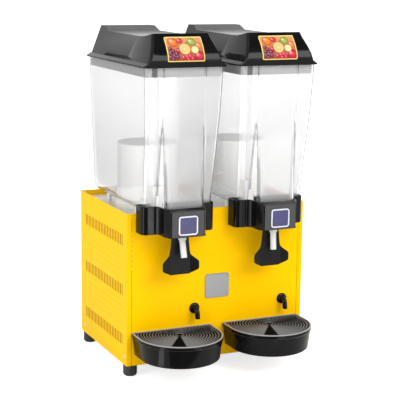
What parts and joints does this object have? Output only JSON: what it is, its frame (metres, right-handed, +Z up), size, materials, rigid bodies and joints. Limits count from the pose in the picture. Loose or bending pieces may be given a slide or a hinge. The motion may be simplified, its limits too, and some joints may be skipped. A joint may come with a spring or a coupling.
{
  "type": "cold drink dispenser",
  "caption": "Countertop cold drink dispenser: yellow chilled cabinet, clear bowls with black lids, lever taps and half-round drip trays.",
  "frame": {"origin": "on the worktop, under the middle of the machine's whole footprint, drip trays included", "axes": "+X to the right of someone facing the machine, +Y from its front to its rear, +Z up"},
  "size_m": [0.4232, 0.433, 0.7341],
  "materials": {
    "yellow_steel": "semi-gloss powder coat",
    "stainless": "brushed",
    "zinc_steel": "plain sheet",
    "satin_plate": "satin",
    "black_gloss": "polished",
    "black_matte": "moulded",
    "clear": "clear polycarbonate",
    "white_plastic": "moulded",
    "silicone": "translucent grey",
    "bright_steel": "drawn",
    "badge_blue": "printed plate",
    "picture": "printed plate"
  },
  "bodies": {
    "root": {"base_pan": "zinc_steel", "side_panel_left": "yellow_steel", "side_panel_right": "yellow_steel", "front_panel": "yellow_steel", "rear_panel": "yellow_steel", "deck": "stainless", "front_plaque": "satin_plate", "panel_screws": "zinc_steel", "tray_brackets": "zinc_steel", "evaporators": "stainless", "bowl_seals": "silicone", "pump_motors": "black_matte", "support_posts": "white_plastic", "drain_elbows": "black_matte", "drain_hoses": "silicone", "compressor": "black_matte", "compressor_grommets": "silicone", "condenser": "zinc_steel", "fan_motor": "black_matte", "refrigerant_pipes": "zinc_steel", "rear_fittings": "black_matte"},
    "foot_front_left": {"foot_front_left": "black_matte"},
    "foot_front_right": {"foot_front_right": "black_matte"},
    "foot_rear_left": {"foot_rear_left": "black_matte"},
    "foot_rear_right": {"foot_rear_right": "black_matte"},
    "bowl_left": {"bowl_left": "clear", "collar_left": "black_gloss", "badge_left": "badge_blue", "spout_left": "silicone", "pump_housing_left": "white_plastic", "riser_tube_left": "white_plastic", "lever_pin_left": "bright_steel"},
    "lid_left": {"lid_left": "black_gloss", "lid_picture_left": "picture"},
    "lever_left": {"lever_left": "black_gloss"},
    "piston_left": {"piston_left": "white_plastic", "piston_spring_left": "bright_steel"},
    "impeller_left": {"impeller_left": "white_plastic"},
    "drive_magnet_left": {"drive_magnet_left": "bright_steel"},
    "drip_tray_left": {"drip_tray_left": "black_gloss"},
    "drip_grille_left": {"drip_grille_left": "black_gloss"},
    "bowl_right": {"bowl_right": "clear", "collar_right": "black_gloss", "badge_right": "badge_blue", "spout_right": "silicone", "pump_housing_right": "white_plastic", "riser_tube_right": "white_plastic", "lever_pin_right": "bright_steel"},
    "lid_right": {"lid_right": "black_gloss", "lid_picture_right": "picture"},
    "lever_right": {"lever_right": "black_gloss"},
    "piston_right": {"piston_right": "white_plastic", "piston_spring_right": "bright_steel"},
    "impeller_right": {"impeller_right": "white_plastic"},
    "drive_magnet_right": {"drive_magnet_right": "bright_steel"},
    "drip_tray_right": {"drip_tray_right": "black_gloss"},
    "drip_grille_right": {"drip_grille_right": "black_gloss"},
    "fan": {"fan_blade": "black_matte"},
    "thermostat": {"thermostat_knob": "black_matte"},
    "rocker": {"power_rocker": "black_matte"}
  },
  "joints": [
    {"name": "foot_front_left_turn", "type": "hinge", "parent": "root", "child": "foot_front_left", "pos_m": [-0.195, -0.0595, 0], "axis": [0, 0, 1], "continuous": true},
    {"name": "foot_front_right_turn", "type": "hinge", "parent": "root", "child": "foot_front_right", "pos_m": [0.195, -0.0595, 0], "axis": [0, 0, 1], "continuous": true},
    {"name": "foot_rear_left_turn", "type": "hinge", "parent": "root", "child": "foot_rear_left", "pos_m": [-0.195, 0.1985, 0], "axis": [0, 0, 1], "continuous": true},
    {"name": "foot_rear_right_turn", "type": "hinge", "parent": "root", "child": "foot_rear_right", "pos_m": [0.195, 0.1985, 0], "axis": [0, 0, 1], "continuous": true},
    {"name": "bowl_left_lift", "type": "slide", "parent": "root", "child": "bowl_left", "axis": [0, 0, 1], "range_m": [0, 0.13]},
    {"name": "lid_left_lift", "type": "slide", "parent": "bowl_left", "child": "lid_left", "axis": [0, 0, 1], "range_m": [0, 0.06]},
    {"name": "lever_left_press", "type": "hinge", "parent": "bowl_left", "child": "lever_left", "pos_m": [-0.107, -0.1495, 0.327], "axis": [1, 0, 0], "range_deg": [0, 18], "stiffness_Nm_per_rad": 0.4},
    {"name": "piston_left_rise", "type": "slide", "parent": "bowl_left", "child": "piston_left", "axis": [0, 0, 1], "range_m": [0, 0.0058], "deforming": ["piston_spring_left"]},
    {"name": "magnet_left_spin", "type": "hinge", "parent": "root", "child": "drive_magnet_left", "pos_m": [-0.145, -0.0515, 0.347], "axis": [0, 0, 1], "continuous": true},
    {"name": "impeller_left_spin", "type": "hinge", "parent": "bowl_left", "child": "impeller_left", "pos_m": [-0.145, -0.0515, 0.366], "axis": [0, 0, 1], "continuous": true},
    {"name": "tray_left_slide", "type": "slide", "parent": "root", "child": "drip_tray_left", "axis": [0, -1, 0], "range_m": [0, 0.04]},
    {"name": "grille_left_lift", "type": "slide", "parent": "drip_tray_left", "child": "drip_grille_left", "axis": [0, 0, 1], "range_m": [0, 0.012]},
    {"name": "bowl_right_lift", "type": "slide", "parent": "root", "child": "bowl_right", "axis": [0, 0, 1], "range_m": [0, 0.13]},
    {"name": "lid_right_lift", "type": "slide", "parent": "bowl_right", "child": "lid_right", "axis": [0, 0, 1], "range_m": [0, 0.06]},
    {"name": "lever_right_press", "type": "hinge", "parent": "bowl_right", "child": "lever_right", "pos_m": [0.107, -0.1495, 0.327], "axis": [1, 0, 0], "range_deg": [0, 18], "stiffness_Nm_per_rad": 0.4},
    {"name": "piston_right_rise", "type": "slide", "parent": "bowl_right", "child": "piston_right", "axis": [0, 0, 1], "range_m": [0, 0.0058], "deforming": ["piston_spring_right"]},
    {"name": "magnet_right_spin", "type": "hinge", "parent": "root", "child": "drive_magnet_right", "pos_m": [0.069, -0.0515, 0.347], "axis": [0, 0, 1], "continuous": true},
    {"name": "impeller_right_spin", "type": "hinge", "parent": "bowl_right", "child": "impeller_right", "pos_m": [0.069, -0.0515, 0.366], "axis": [0, 0, 1], "continuous": true},
    {"name": "tray_right_slide", "type": "slide", "parent": "root", "child": "drip_tray_right", "axis": [0, -1, 0], "range_m": [0, 0.04]},
    {"name": "grille_right_lift", "type": "slide", "parent": "drip_tray_right", "child": "drip_grille_right", "axis": [0, 0, 1], "range_m": [0, 0.012]},
    {"name": "fan_spin", "type": "hinge", "parent": "root", "child": "fan", "pos_m": [0.095, 0.1265, 0.12], "axis": [0, 1, 0], "continuous": true},
    {"name": "thermostat_turn", "type": "hinge", "parent": "root", "child": "thermostat", "pos_m": [0.15, 0.2075, 0.2], "axis": [0, 1, 0], "range_deg": [-135, 135]},
    {"name": "rocker_tilt", "type": "hinge", "parent": "root", "child": "rocker", "pos_m": [0.15, 0.2075, 0.145], "axis": [1, 0, 0], "range_deg": [-8, 8]}
  ],
  "couplings": [
    {"joint": "piston_left_rise", "follows": "lever_left_press", "m_per_rad": 0.018},
    {"joint": "impeller_left_spin", "follows": "magnet_left_spin", "ratio": 1},
    {"joint": "piston_right_rise", "follows": "lever_right_press", "m_per_rad": 0.018},
    {"joint": "impeller_right_spin", "follows": "magnet_right_spin", "ratio": 1}
  ]
}
